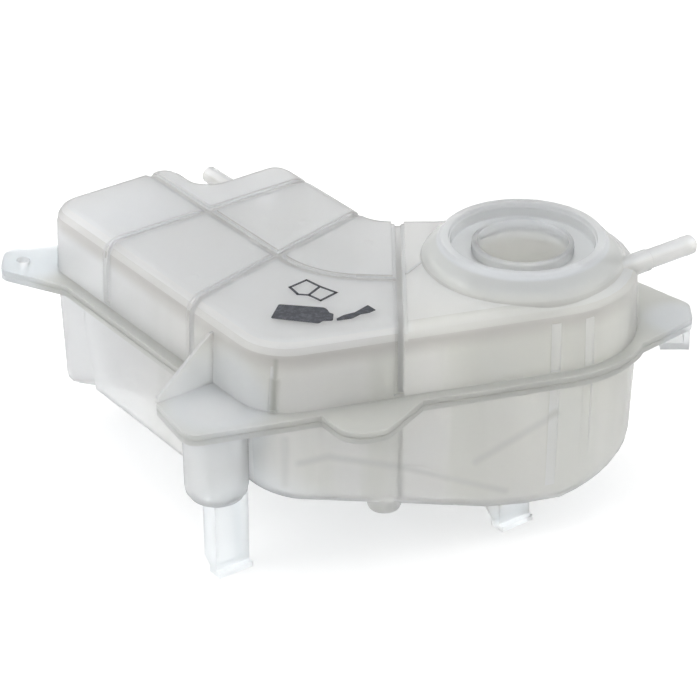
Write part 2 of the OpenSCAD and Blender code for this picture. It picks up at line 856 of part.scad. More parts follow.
// A round metal pin with tapered ends, pressed through the socket's floor.
module sensor_pin(k) {
    color("#b9bcc0")
    translate([socket_at[0] + k * pin_pitch / 2, socket_at[1], -deep_drop - socket_h + 2])
        rotate_extrude($fn = 32)
            polygon([
                [0, 0], [pin_r - 0.7, 0], [pin_r, 1.2], [pin_r, pin_l - 0.8],
                [pin_r - 0.5, pin_l], [0, pin_l]
            ]);
}

module sensor_pin_near() { sensor_pin(-1); }
module sensor_pin_far() { sensor_pin(1); }

upper_shell();
lower_shell();
sensor_pin_near();
sensor_pin_far();
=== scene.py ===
"""Dresses the coolant expansion tank: milky welded shells, ink, moulding marks, sensor pins and a studio."""
import logging
import math
from dataclasses import dataclass, field
from enum import Enum
from typing import Dict, List, Optional, Sequence, Tuple, Union

import bmesh
import bpy
from mathutils import Matrix, Quaternion, Vector
from mathutils.bvhtree import BVHTree


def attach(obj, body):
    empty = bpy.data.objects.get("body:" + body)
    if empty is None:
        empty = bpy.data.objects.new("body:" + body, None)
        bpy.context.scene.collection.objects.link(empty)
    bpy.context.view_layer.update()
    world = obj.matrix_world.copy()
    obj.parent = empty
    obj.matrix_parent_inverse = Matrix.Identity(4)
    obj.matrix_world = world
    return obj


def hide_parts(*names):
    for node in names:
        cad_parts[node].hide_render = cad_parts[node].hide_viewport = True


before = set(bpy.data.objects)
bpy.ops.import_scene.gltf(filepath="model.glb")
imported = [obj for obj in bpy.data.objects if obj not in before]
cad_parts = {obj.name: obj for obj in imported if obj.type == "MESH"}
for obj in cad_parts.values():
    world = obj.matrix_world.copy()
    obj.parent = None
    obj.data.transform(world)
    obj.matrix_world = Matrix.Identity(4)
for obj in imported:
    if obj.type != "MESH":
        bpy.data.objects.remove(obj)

LOG = logging.getLogger("tank")
MM = 0.001
ROOF_Z = -8.8
SEAM_Z = -47.8
BEVEL_STEPS = 3
BEVEL_PROFILE = 0.5
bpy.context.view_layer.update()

Socket = bpy.types.NodeSocket
Point = Tuple[float, float]
Span = Tuple[float, float]
Spot = Tuple[float, float, float]
Colour = Tuple[float, float, float]
Line = Tuple[Spot, Spot, float]
Plate = Tuple[Spot, float]
Layer = Tuple[Socket, Colour]


class Slot(Enum):
    """The record's material slots."""

    PLASTIC = "milky_plastic"
    METAL = "pin_metal"


class Side(Enum):
    """The four sides of the studio that a soft lamp can stand on, each as a direction from above."""

    LEFT = (-1.0, -0.35)
    RIGHT = (1.0, -0.1)
    FRONT = (-0.1, -1.0)
    TOP = (0.0, 0.0)


class Tree:
    """The node tree of a material or a world, with short calls for adding and joining nodes."""

    def __init__(self, owner: Union[bpy.types.Material, bpy.types.World], output: str) -> None:
        """Starts an empty node tree.

        Args:
            owner: The material or world that the tree belongs to.
            output: The type of its output node, without the ShaderNode prefix.
        """
        owner.use_nodes = True
        self.nodes = owner.node_tree.nodes
        self.links = owner.node_tree.links
        self.nodes.clear()
        self.output = self.add(output)

    def add(self, kind: str, **settings: object) -> bpy.types.Node:
        """Adds one node.

        Args:
            kind: The node's type, without its ShaderNode prefix.
            **settings: Properties of the node.

        Returns:
            The new node.
        """
        node = self.nodes.new("ShaderNode" + kind)
        for key, value in settings.items():
            setattr(node, key, value)
        return node

    def join(self, source: Socket, target: Socket) -> None:
        """Links an output to an input."""
        self.links.new(source, target)

    def combine(self, how: str, first: Socket, second: Union[Socket, float] = 0.0) -> Socket:
        """Does one sum on two values.

        Args:
            how: The math node's operation.
            first: The first value.
            second: The second value, where the operation takes one.

        Returns:
            The result's socket.
        """
        node = self.add("Math", operation=how)
        self.join(first, node.inputs[0])
        if isinstance(second, float):
            node.inputs[1].default_value = second
        else:
            self.join(second, node.inputs[1])
        return node.outputs[0]

    def overlap(self, first: Socket, *others: Union[Socket, float]) -> Socket:
        """Multiplies masks and shares, so that a place is marked only where all of them hold.

        Args:
            first: The first mask.
            *others: More masks, or plain shares.

        Returns:
            The product's socket.
        """
        total = first
        for other in others:
            total = self.combine("MULTIPLY", total, other)
        return total

    def strongest(self, masks: Sequence[Socket]) -> Socket:
        """Joins masks, so that each place keeps its strongest one.

        Args:
            masks: The masks, at least one.

        Returns:
            The joint mask's socket.
        """
        total = masks[0]
        for mask in masks[1:]:
            total = self.combine("MAXIMUM", total, mask)
        return total

    def span(self, source: Socket, low: float, high: float, to_low: float = 0.0,
             to_high: float = 1.0) -> Socket:
        """Maps a value smoothly from one range to another.

        Args:
            source: The value.
            low: Where the old range starts. It may be above high.
            high: Where the old range ends.
            to_low: What low becomes.
            to_high: What high becomes.

        Returns:
            The mapped value's socket.
        """
        node = self.add("MapRange", interpolation_type="SMOOTHSTEP")
        for key, value in zip(("From Min", "From Max", "To Min", "To Max"), (low, high, to_low, to_high)):
            node.inputs[key].default_value = value
        self.join(source, node.inputs["Value"])
        return node.outputs["Result"]

    def directly_seen(self) -> Socket:
        """Marks what the camera sees directly, in a reflection or through clear plastic.

        Returns:
            A value of 1 for those rays and 0 for the rays that light the tank.
        """
        rays = self.add("LightPath").outputs
        return self.strongest([rays["Is Camera Ray"], rays["Is Glossy Ray"], rays["Is Transmission Ray"]])


class Sheet(Tree):
    """A new material and its node tree, which reads object coordinates in metres."""

    def __init__(self, name: str) -> None:
        """Starts an empty material.

        Args:
            name: The material's name.
        """
        self.material = bpy.data.materials.new(name)
        super().__init__(self.material, "OutputMaterial")
        self.place = self.add("TexCoord").outputs["Object"]

    def shader(self, rough: float, **constants: float) -> bpy.types.Node:
        """Adds the principled shader with its whole-surface constants.

        Args:
            rough: The roughness that holds where nothing is linked.
            **constants: Socket names, with _ for a space, and their values.

        Returns:
            The shader's node, joined to the output.
        """
        node = self.add("BsdfPrincipled")
        node.inputs["Roughness"].default_value = rough
        for key, value in constants.items():
            node.inputs[key.replace("_", " ")].default_value = value
        self.join(node.outputs["BSDF"], self.output.inputs["Surface"])
        return node

    def noise(self, scale: float, detail: float = 2.0, rough: float = 0.5, stretch: float = 1.0) -> Socket:
        """Adds a noise on object coordinates.

        Args:
            scale: Waves in one metre.
            detail: Octaves.
            rough: How strong the fine octaves are.
            stretch: The share of the scale that holds upwards, below 1 for upright streaks.

        Returns:
            The noise's value socket.
        """
        node = self.add("TexNoise")
        node.inputs["Scale"].default_value = scale
        node.inputs["Detail"].default_value = detail
        node.inputs["Roughness"].default_value = rough
        place = self.place
        if stretch != 1.0:
            mapping = self.add("Mapping")
            mapping.inputs["Scale"].default_value = (1.0, 1.0, stretch)
            self.join(place, mapping.inputs["Vector"])
            place = mapping.outputs["Vector"]
        self.join(place, node.inputs["Vector"])
        return node.outputs["Fac"]

    def blend(self, share: Socket, first: Union[Socket, Colour], second: Colour) -> Socket:
        """Mixes two colours.

        Args:
            share: How much of the second colour shows.
            first: The colour at 0.
            second: The colour at 1.

        Returns:
            The mixed colour's socket.
        """
        node = self.add("Mix", data_type="RGBA")
        self.join(share, node.inputs["Factor"])
        colour_inputs = [socket for socket in node.inputs if socket.type == "RGBA"]
        if isinstance(first, tuple):
            colour_inputs[0].default_value = (*first, 1.0)
        else:
            self.join(first, colour_inputs[0])
        colour_inputs[1].default_value = (*second, 1.0)
        return next(socket for socket in node.outputs if socket.type == "RGBA")

    def bump(self, height: Socket, strength: float, depth: float, under: Optional[Socket] = None) -> Socket:
        """Turns a height into a surface normal.

        Args:
            height: The height's socket.
            strength: Share of the bump that shows.
            depth: The height of 1, in millimetres.
            under: The normal that the bump lies on.

        Returns:
            The normal's socket.
        """
        node = self.add("Bump")
        node.inputs["Strength"].default_value = strength
        node.inputs["Distance"].default_value = depth * MM
        self.join(height, node.inputs["Height"])
        if under is not None:
            self.join(under, node.inputs["Normal"])
        return node.outputs["Normal"]

    def mask(self, source: Socket, limits: Span, none: float = 0.0, full: float = 1.0) -> Socket:
        """Marks a place by a length.

        Args:
            source: The length, in metres.
            limits: Where the mark begins and where it is full, in millimetres.
            none: The mask's value before it begins.
            full: Its value where it is full.

        Returns:
            The mask's socket.
        """
        return self.span(source, limits[0] * MM, limits[1] * MM, none, full)

    def gap(self, source: Socket, centre: float) -> Socket:
        """Measures how far a coordinate lies from a place in millimetres, either way."""
        return self.combine("ABSOLUTE", self.combine("SUBTRACT", source, centre * MM))

    def near_point(self, spot: Spot, inner: float, outer: float) -> Socket:
        """Marks what lies close to a point.

        Args:
            spot: The point in millimetres.
            inner: The mark is full up to this distance.
            outer: The mark ends at this distance.

        Returns:
            A value of 1 near the point and 0 beyond.
        """
        away = self.add("VectorMath", operation="DISTANCE")
        self.join(self.place, away.inputs[0])
        away.inputs[1].default_value = Vector(spot) * MM
        return self.mask(away.outputs["Value"], (outer, inner))

    def near_line(self, start: Spot, end: Spot, reach: float) -> Socket:
        """Marks what lies close to a straight line between two points.

        Args:
            start: The line's start in millimetres.
            end: The line's end.
            reach: Where the mark ends, beside the line.

        Returns:
            A value of 1 on the line and 0 beyond the reach.
        """
        run = (Vector(end) - Vector(start)) * MM
        offset = self.add("VectorMath", operation="SUBTRACT")
        self.join(self.place, offset.inputs[0])
        offset.inputs[1].default_value = Vector(start) * MM
        along = self.add("VectorMath", operation="DOT_PRODUCT")
        self.join(offset.outputs["Vector"], along.inputs[0])
        along.inputs[1].default_value = run / run.length_squared
        share = self.add("Clamp")
        self.join(along.outputs["Value"], share.inputs["Value"])
        foot = self.add("VectorMath", operation="SCALE")
        foot.inputs[0].default_value = run
        self.join(share.outputs["Result"], foot.inputs["Scale"])
        away = self.add("VectorMath", operation="DISTANCE")
        self.join(offset.outputs["Vector"], away.inputs[0])
        self.join(foot.outputs["Vector"], away.inputs[1])
        return self.mask(away.outputs["Value"], (reach, 0.0))


class Surface:
    """Where a point of the tank lies and how its face leans, as sockets of one material."""

    def __init__(self, sheet: Sheet) -> None:
        """Adds the nodes that read place and slope.

        Args:
            sheet: The node tree.
        """
        lean = sheet.add("SeparateXYZ")
        sheet.join(sheet.add("NewGeometry").outputs["True Normal"], lean.inputs["Vector"])
        spot = sheet.add("SeparateXYZ")
        sheet.join(sheet.place, spot.inputs["Vector"])
        plan = sheet.add("VectorMath", operation="MULTIPLY")
        sheet.join(sheet.place, plan.inputs[0])
        plan.inputs[1].default_value = (1.0, 1.0, 0.0)
        radius = sheet.add("VectorMath", operation="LENGTH")
        sheet.join(plan.outputs["Vector"], radius.inputs[0])
        self.level = sheet.combine("ABSOLUTE", lean.outputs["Z"])
        self.x = spot.outputs["X"]
        self.y = spot.outputs["Y"]
        self.z = spot.outputs["Z"]
        self.radius = radius.outputs["Value"]
        self.from_seam = sheet.gap(self.z, SEAM_Z)


@dataclass(frozen=True)
class Zones:
    """Where each tone of the plastic begins and where it is full, as pairs.

    A slope goes from 0 on an upright face to 1 on a level one, and a noise, the last three here, from
    0 to 1. The other numbers are millimetres.
    """

    steep_slope: Span = (0.9, 0.35)
    roof_side_height: Span = (-22.0, -18.0)
    wall_height: Span = (-16.0, -22.0)
    far_end_x: Span = (-155.0, -215.0)
    chamber_radius: Span = (80.0, 70.0)
    baffle_middle_x: float = 26.0
    baffle_reach: Span = (13.0, 10.0)
    nose_height: Span = (-52.0, -44.0)
    nose_x: Span = (46.0, 30.0)
    brow_slope: Span = (0.68, 0.42)
    brow_height: Span = (-25.5, -16.0)
    brow_x: Span = (55.0, 30.0)
    bend_slope_from_wall: Span = (0.50, 0.72)
    bend_slope_from_roof: Span = (0.985, 0.93)
    painted_gleam_x: Span = (-56.0, -66.0)
    arm_edge_slope: Span = (0.30, 0.60)
    arm_edge_x: Span = (-64.0, -54.0)
    arm_edge_y: Span = (-25.0, -55.0)
    seam_band_reach: Span = (3.6, 2.8)
    above_roof_height: Span = (-12.5, -10.0)
    dome_radius: Span = (53.5, 48.0)
    rings_radius: Span = (44.0, 42.5)
    bore_radius: Span = (23.6, 23.1)
    drift_noise: Span = (0.38, 0.66)
    streaks_noise: Span = (0.46, 0.60)
    patches_noise: Span = (0.3, 0.7)


@dataclass(frozen=True)
class Waves:
    """How many waves each of the plastic's noises has in a metre."""

    drift: float = 14.0
    sink: float = 26.0
    streaks: float = 38.0
    patches: float = 60.0
    grain: float = 2600.0


@dataclass(frozen=True)
class Shares:
    """How strongly some tones of the plastic show where they are full."""

    cloud: float = 0.4
    chamber: float = 0.75
    nose: float = 0.8
    brow_far: float = 0.4
    arm_edge: float = 0.85


@dataclass(frozen=True)
class MilkyPlastic:
    """Natural polypropylene that scatters light, with bluish single plates; its walls are painted warmer and
    its roof cooler by slope, as painted shade and painted light.

    The walls let the share called milky straight through, and thin pieces the share called glassy.
    Lengths are in millimetres. A line is two ends and a reach, and a plate its middle and a reach.
    """

    # painted light and painted shade: cooler on level faces and warmer on upright ones, for light that falls
    # from above
    roof_lit_tone: Colour = (0.948, 0.972, 0.998)
    wall_shade_tone: Colour = (0.984, 0.968, 0.930)
    plate: Colour = (0.958, 0.984, 1.0)
    cloud: Colour = (0.940, 0.948, 0.945)
    # painted shade: the dark band on the lower bend of the roof's edge and the wall just below it
    edge: Colour = (0.690, 0.676, 0.652)
    # painted highlight on the upper bend of the roof's edge
    painted_gleam: Colour = (0.996, 0.999, 1.0)
    neck: Colour = (0.860, 0.882, 0.908)
    # painted shade on the domed top around the neck
    dome_shade: Colour = (0.775, 0.787, 0.772)
    # painted shade on the pillar under the corner ear
    column_shade: Colour = (0.700, 0.726, 0.756)
    # painted light: near white inside the neck's tube, for light coming through its walls
    painted_bore_light: Colour = (0.998, 0.998, 0.998)
    # painted light in narrow grooves, which lifts their shade
    recess: Colour = (0.990, 0.994, 0.994)
    # the welded seam's own tone, with painted shade on the flange's top under the wall
    weld_and_shade: Colour = (0.838, 0.844, 0.806)
    # painted shade on the chamber's walls and behind its baffles, and the tone of random upright streaks
    olive_shade_and_streaks: Colour = (0.888, 0.888, 0.842)
    shade: Colour = (0.800, 0.800, 0.760)
    # painted shade lines where inner ribs and creases show through the front walls
    trace_shade: Colour = (0.785, 0.788, 0.762)
    # painted shade: the dark wedges of the sensor spike's recess
    wedge_shade: Colour = (0.480, 0.490, 0.450)
    # painted light on the walls of the far left end
    far_end_light: Colour = (0.978, 0.990, 1.0)
    zones: Zones = Zones()
    waves: Waves = Waves()
    shares: Shares = Shares()
    rough: float = 0.42
    rough_range: Span = (0.36, 0.50)
    milky: float = 0.62
    glassy: float = 0.92
    plate_core: float = 0.55
    soft_edge: float = 0.9
    mark_radius: Span = (2.3, 2.9)
    groove: Span = (0.1, 0.5)
    ears: Tuple[Plate, ...] = (((-150.0, -84.0, -46.0), 33.0), ((80.0, 2.0, -52.0), 22.0))
    clear_plates: Tuple[Plate, ...] = (
        ((-258.0, 66.0, -48.0), 30.0),
        ((-140.0, -84.0, -132.0), 62.0),
        ((-3.0, -36.0, -138.0), 15.0),
        ((-150.0, 74.0, -138.0), 16.0),
    )
    traces: Tuple[Line, ...] = (
        ((-110.7, -91.4, -74.0), (-97.0, -87.5, -72.8), 3.8),
        ((-97.0, -87.5, -72.8), (-61.9, -76.5, -85.5), 3.6),
        ((-61.9, -76.5, -85.5), (-8.7, -59.9, -110.2), 3.2),
        ((-24.0, -64.8, -89.5), (15.3, -52.6, -69.0), 4.0),
        ((-118.0, -92.5, -60.0), (-118.1, -91.5, -86.0), 3.8),
    )
    wedges: Tuple[Line, ...] = (
        ((-121.6, -91.1, -17.0), (-122.3, -91.5, -30.0), 2.1),
        ((-122.3, -91.5, -28.0), (-123.4, -92.0, -44.0), 3.8),
    )
    marks: Tuple[Point, ...] = (
        (-198.2, 17.7), (-151.0, -42.7), (-129.6, 72.3), (-94.2, 31.0), (-109.6, 36.6), (-164.2, -22.0),
        (-134.5, 10.0), (-77.4, 14.4),
    )
    tube: Line = ((0.0, 0.0, 4.0), (0.0, 0.0, -40.0), 52.0)
    foot_column: Line = ((-151.0, -86.0, -58.0), (-151.0, -86.0, -100.0), 38.0)

    def plates(self, sheet: Sheet, plates: Sequence[Plate]) -> Socket:
        """Marks some of the ears, skirt and feet, which have a single wall.

        Args:
            sheet: The node tree.
            plates: The middle of each plate and how far it reaches.

        Returns:
            A value of 1 on those plates and 0 elsewhere.
        """
        core = self.plate_core
        return sheet.strongest([sheet.near_point(spot, reach * core, reach) for spot, reach in plates])

    def wall_layers(self, sheet: Sheet, at: Surface, steep: Socket) -> List[Layer]:
        """Tones of the walls: clouds, painted shade on the chamber and behind its baffles, streaks, painted
        shade on the chamber's nose and on the pillar under the corner ear, and painted light on the far end.

        Args:
            sheet: The node tree.
            at: Place and slope.
            steep: The mask of the walls.

        Returns:
            The layers, lowest first.
        """
        zones = self.zones
        drift = sheet.span(sheet.noise(self.waves.drift, detail=3.0, rough=0.55), *zones.drift_noise)
        streaks = sheet.span(sheet.noise(self.waves.streaks, detail=3.0, stretch=0.12), *zones.streaks_noise)
        chamber = sheet.overlap(steep, sheet.mask(at.radius, zones.chamber_radius))
        baffle = sheet.mask(sheet.gap(at.x, zones.baffle_middle_x), zones.baffle_reach)
        nose = sheet.mask(at.z, zones.nose_height, full=self.shares.nose)
        walls_only = sheet.overlap(steep, sheet.mask(at.z, zones.wall_height))
        return [
            (sheet.overlap(drift, self.shares.cloud), self.cloud),
            # painted shade on the chamber's walls
            (sheet.overlap(chamber, self.shares.chamber), self.olive_shade_and_streaks),
            (sheet.overlap(steep, streaks), self.olive_shade_and_streaks),
            # painted shade behind the chamber's baffles
            (sheet.overlap(chamber, baffle), self.olive_shade_and_streaks),
            (sheet.overlap(chamber, nose, sheet.mask(at.x, zones.nose_x)), self.shade),
            # painted shade on the pillar under the corner ear
            (sheet.near_line(*self.foot_column), self.column_shade),
            # painted light on the walls of the far left end
            (sheet.overlap(walls_only, sheet.mask(at.x, zones.far_end_x)), self.far_end_light),
        ]

    def edge_layers(self, sheet: Sheet, at: Surface) -> List[Layer]:
        """Tones of the roof's edge and the seam: a painted shade band under the edge, a painted highlight on
        its bend, painted shade on the arm's edge, and a band along the welded seam that is partly painted
        shade.

        Args:
            sheet: The node tree.
            at: Place and slope.

        Returns:
            The layers, lowest first.
        """
        zones = self.zones
        brow_shade = sheet.overlap(sheet.span(at.level, *zones.brow_slope), sheet.mask(at.z, zones.brow_height))
        roof_side = sheet.mask(at.z, zones.roof_side_height)
        bend = sheet.overlap(sheet.span(at.level, *zones.bend_slope_from_wall),
                             sheet.span(at.level, *zones.bend_slope_from_roof))
        arm_edge = sheet.overlap(sheet.mask(at.x, zones.arm_edge_x), sheet.mask(at.y, zones.arm_edge_y),
                                 sheet.span(at.level, *zones.arm_edge_slope, 0.0, self.shares.arm_edge))
        return [
            # painted shade band under the roof's edge, weaker at the right end
            (sheet.overlap(brow_shade, sheet.mask(at.x, zones.brow_x, none=self.shares.brow_far)), self.edge),
            # painted highlight along the roof edge's bend, left of the chamber
            (sheet.overlap(bend, roof_side, sheet.mask(at.x, zones.painted_gleam_x)), self.painted_gleam),
            (sheet.overlap(roof_side, arm_edge), self.shade),
            # welded seam band: its own tone and painted shade on the flange's top
            (sheet.mask(at.from_seam, zones.seam_band_reach), self.weld_and_shade),
        ]

    def neck_layers(self, sheet: Sheet, at: Surface) -> List[Layer]:
        """Tones of the filler neck: painted shade on its domed top, a tone for its rings and painted light
        inside the neck's tube.

        Args:
            sheet: The node tree.
            at: Place and slope.

        Returns:
            The layers, lowest first.
        """
        above = sheet.mask(at.z, self.zones.above_roof_height)
        return [
            # painted shade on the domed top
            (sheet.overlap(sheet.mask(at.radius, self.zones.dome_radius), above), self.dome_shade),
            (sheet.overlap(sheet.mask(at.radius, self.zones.rings_radius), above), self.neck),
            # painted light inside the neck's tube
            (sheet.mask(at.radius, self.zones.bore_radius), self.painted_bore_light),
        ]

    def detail_layers(self, sheet: Sheet, clear: Socket) -> List[Layer]:
        """Tones of the single plates, painted light in the narrow grooves, and painted shade lines and
        wedges where inner parts show through the front walls.

        Args:
            sheet: The node tree.
            clear: The mask of the clear plates.

        Returns:
            The layers, lowest first.
        """
        return [
            (sheet.strongest([clear, self.plates(sheet, self.ears)]), self.plate),
            # painted light in the narrow grooves
            (sheet.add("Attribute", attribute_name="recess").outputs["Fac"], self.recess),
            # painted shade lines on the front walls
            (sheet.strongest([sheet.near_line(*line) for line in self.traces]), self.trace_shade),
            # painted shade wedges at the sensor spike
            (sheet.strongest([sheet.near_line(*line) for line in self.wedges]), self.wedge_shade),
        ]

    def tint(self, sheet: Sheet, at: Surface, clear: Socket) -> Socket:
        """Works out the plastic's colour from place and slope.

        Args:
            sheet: The node tree.
            at: Place and slope.
            clear: The mask of the clear plates.

        Returns:
            The colour's socket.
        """
        steep = sheet.span(at.level, *self.zones.steep_slope)
        layers = self.wall_layers(sheet, at, steep) + self.edge_layers(sheet, at)
        layers += self.neck_layers(sheet, at) + self.detail_layers(sheet, clear)
        # painted light on level faces and painted shade on upright faces, mixed by slope
        colour = sheet.blend(steep, self.roof_lit_tone, self.wall_shade_tone)
        for share, tone in layers:
            colour = sheet.blend(share, colour, tone)
        return colour

    def relief(self, sheet: Sheet, at: Surface) -> Socket:
        """Works out the fine shape: soft edges, slight sink, pin marks, the weld's groove and a fine grain.

        Args:
            sheet: The node tree.
            at: Place and slope.

        Returns:
            The normal's socket.
        """
        soft = sheet.add("Bevel", samples=2)
        soft.inputs["Radius"].default_value = self.soft_edge * MM
        sink = sheet.bump(sheet.noise(self.waves.sink), strength=0.35, depth=1.2,
                          under=soft.outputs["Normal"])
        pins = sheet.strongest([sheet.near_point((x, y, ROOF_Z), *self.mark_radius) for x, y in self.marks])
        marked = sheet.bump(pins, strength=0.6, depth=0.2, under=sink)
        groove = sheet.mask(at.from_seam, self.groove)
        welded = sheet.bump(groove, strength=0.7, depth=0.3, under=marked)
        grain = sheet.noise(self.waves.grain, rough=0.6)
        return sheet.bump(grain, strength=0.12, depth=0.1, under=welded)

    def build(self) -> bpy.types.Material:
        """Makes the material.

        Returns:
            The finished material.
        """
        sheet = Sheet("milky_polypropylene")
        at = Surface(sheet)
        shader = sheet.shader(self.rough, IOR=1.2, Subsurface_Weight=1.0, Subsurface_Scale=0.012,
                              Coat_Weight=0.4, Coat_Roughness=0.2, Coat_IOR=1.5)
        shader.inputs["Subsurface Radius"].default_value = (1.0, 1.0, 1.0)
        clear = self.plates(sheet, self.clear_plates)
        thin = sheet.strongest([clear, sheet.near_line(*self.tube)])
        noise = sheet.noise(self.waves.patches, detail=4.0, rough=0.6)
        patches = sheet.span(noise, *self.zones.patches_noise, *self.rough_range)
        sheet.join(self.tint(sheet, at, clear), shader.inputs["Base Color"])
        sheet.join(patches, shader.inputs["Roughness"])
        sheet.join(sheet.span(thin, 0.0, 1.0, self.milky, self.glassy), shader.inputs["Transmission Weight"])
        sheet.join(self.relief(sheet, at), shader.inputs["Normal"])
        return sheet.material


@dataclass(frozen=True)
class PinSteel:
    """Stainless wire of the sensor pins, drawn lengthwise."""

    tone: Colour = (0.62, 0.62, 0.64)
    line_tone: Colour = (0.5, 0.5, 0.53)
    rough: float = 0.28
    line_waves: float = 4200.0
    line_stretch: float = 0.04

    def build(self) -> bpy.types.Material:
        """Makes the material.

        Returns:
            The finished material.
        """
        sheet = Sheet("drawn_pin_steel")
        shader = sheet.shader(self.rough, Metallic=1.0)
        lines = sheet.noise(self.line_waves, stretch=self.line_stretch)
        sheet.join(sheet.blend(lines, self.tone, self.line_tone), shader.inputs["Base Color"])
        sheet.join(sheet.bump(lines, strength=0.3, depth=0.03), shader.inputs["Normal"])
        return sheet.material


@dataclass(frozen=True)
class RoofInk:
    """Dark slate pad-printing ink, a little thin and worn in patches."""

    tone: Colour = (0.024, 0.027, 0.036)
    thin: Colour = (0.080, 0.086, 0.104)
    rough: float = 0.46
    worn: Span = (0.42, 0.72)
    patch_waves: float = 420.0
    grain_waves: float = 2400.0

    def build(self) -> bpy.types.Material:
        """Makes the material.

        Returns:
            The finished material.
        """
        sheet = Sheet("slate_ink")
        shader = sheet.shader(self.rough, IOR=1.5)
        patches = sheet.span(sheet.noise(self.patch_waves, detail=5.0, rough=0.7), *self.worn)
        sheet.join(sheet.blend(patches, self.tone, self.thin), shader.inputs["Base Color"])
        grain = sheet.noise(self.grain_waves)
        sheet.join(sheet.bump(grain, strength=0.3, depth=0.04), shader.inputs["Normal"])
        return sheet.material


def stand(name: str, data: bpy.types.ID) -> bpy.types.Object:
    """Puts an object with the given mesh, lamp or camera data into the scene.

    Args:
        name: The object's name.
        data: Its data.

    Returns:
        The object, at the origin.
    """
    item = bpy.data.objects.new(name, data)
    bpy.context.scene.collection.objects.link(item)
    return item


def to_mesh(work: bmesh.types.BMesh, name: str) -> bpy.types.Mesh:
    """Turns a finished bmesh into a mesh.

    Args:
        work: The bmesh, which is freed.
        name: The mesh's name.

    Returns:
        The mesh.
    """
    data = bpy.data.meshes.new(name)
    work.to_mesh(data)
    work.free()
    return data


def dress(piece: bpy.types.Object, finish: bpy.types.Material) -> bpy.types.Object:
    """Gives a plastic or printed piece its finish and lets it ride on the tank.

    Args:
        piece: The piece.
        finish: Its material.

    Returns:
        The piece.
    """
    piece.data.materials.append(finish)
    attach(piece, "root")
    return piece


def round_off(work: bmesh.types.BMesh, geometry: Sequence[object], offset: float, kind: str) -> None:
    """Rounds edges or corners of a bmesh.

    Args:
        work: The bmesh.
        geometry: Its edges or corners.
        offset: How far each is rounded, in millimetres.
        kind: EDGES or VERTICES.
    """
    bmesh.ops.bevel(work, geom=geometry, offset=offset * MM, offset_type="OFFSET", segments=BEVEL_STEPS,
                    profile=BEVEL_PROFILE, affect=kind, material=-1, clamp_overlap=True)


@dataclass
class Moulding:
    """One shell: the CAD node's own mesh, merged, with soft shading and the milky finish."""

    node: str
    merge_gap: float = 0.001
    flat_deg: float = 0.4
    crease_deg: float = 33.0
    even_weight: int = 60
    recess_reach: float = 5.0
    probe_lift: float = 0.2
    probe_tilt: float = 0.12
    probes: int = 8

    def mark_recesses(self, work: bmesh.types.BMesh) -> None:
        """Marks the faces inside narrow grooves, where painted light lifts the grooves' shade.

        A face is inside a groove if a wall stands close in front of it, or close on both sides of it.

        Args:
            work: The shell's mesh, which gets a face value named recess.
        """
        layer = work.faces.layers.float.new("recess")
        tree = BVHTree.FromBMesh(work)
        reach = self.recess_reach * MM
        for face in work.faces:
            start = face.calc_center_median() + face.normal * (self.probe_lift * MM)
            enclosed = tree.ray_cast(start, face.normal, reach)[0] is not None
            across = face.normal.orthogonal()
            for _ in range(self.probes):
                across.rotate(Quaternion(face.normal, math.pi / self.probes))
                ways = [(sign * across + self.probe_tilt * face.normal).normalized() for sign in (1.0, -1.0)]
                enclosed = enclosed or all(tree.ray_cast(start, way, reach)[0] is not None for way in ways)
            face[layer] = float(enclosed)

    def mesh(self) -> bpy.types.Mesh:
        """Merges a copy of the node's loose triangles and marks its sharp edges.

        Returns:
            The shell's mesh.
        """
        work = bmesh.new()
        work.from_mesh(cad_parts[self.node].data)
        bmesh.ops.remove_doubles(work, verts=work.verts, dist=self.merge_gap * MM)
        bmesh.ops.dissolve_limit(work, angle_limit=math.radians(self.flat_deg), verts=work.verts,
                                 edges=work.edges)
        for face in work.faces:
            face.smooth = True
        for edge in work.edges:
            edge.smooth = edge.calc_face_angle(0.0) < math.radians(self.crease_deg)
        self.mark_recesses(work)
        return to_mesh(work, self.node + "_moulded")

    def build(self, finish: bpy.types.Material) -> bpy.types.Object:
        """Makes the shell's object in place of the CAD node.

        Args:
            finish: The milky material.

        Returns:
            The shell's object.
        """
        piece = dress(stand(self.node + "_moulded", self.mesh()), finish)
        even = piece.modifiers.new("even_shading", "WEIGHTED_NORMAL")
        even.keep_sharp = True
        even.weight = self.even_weight
        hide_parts(self.node)
        return piece


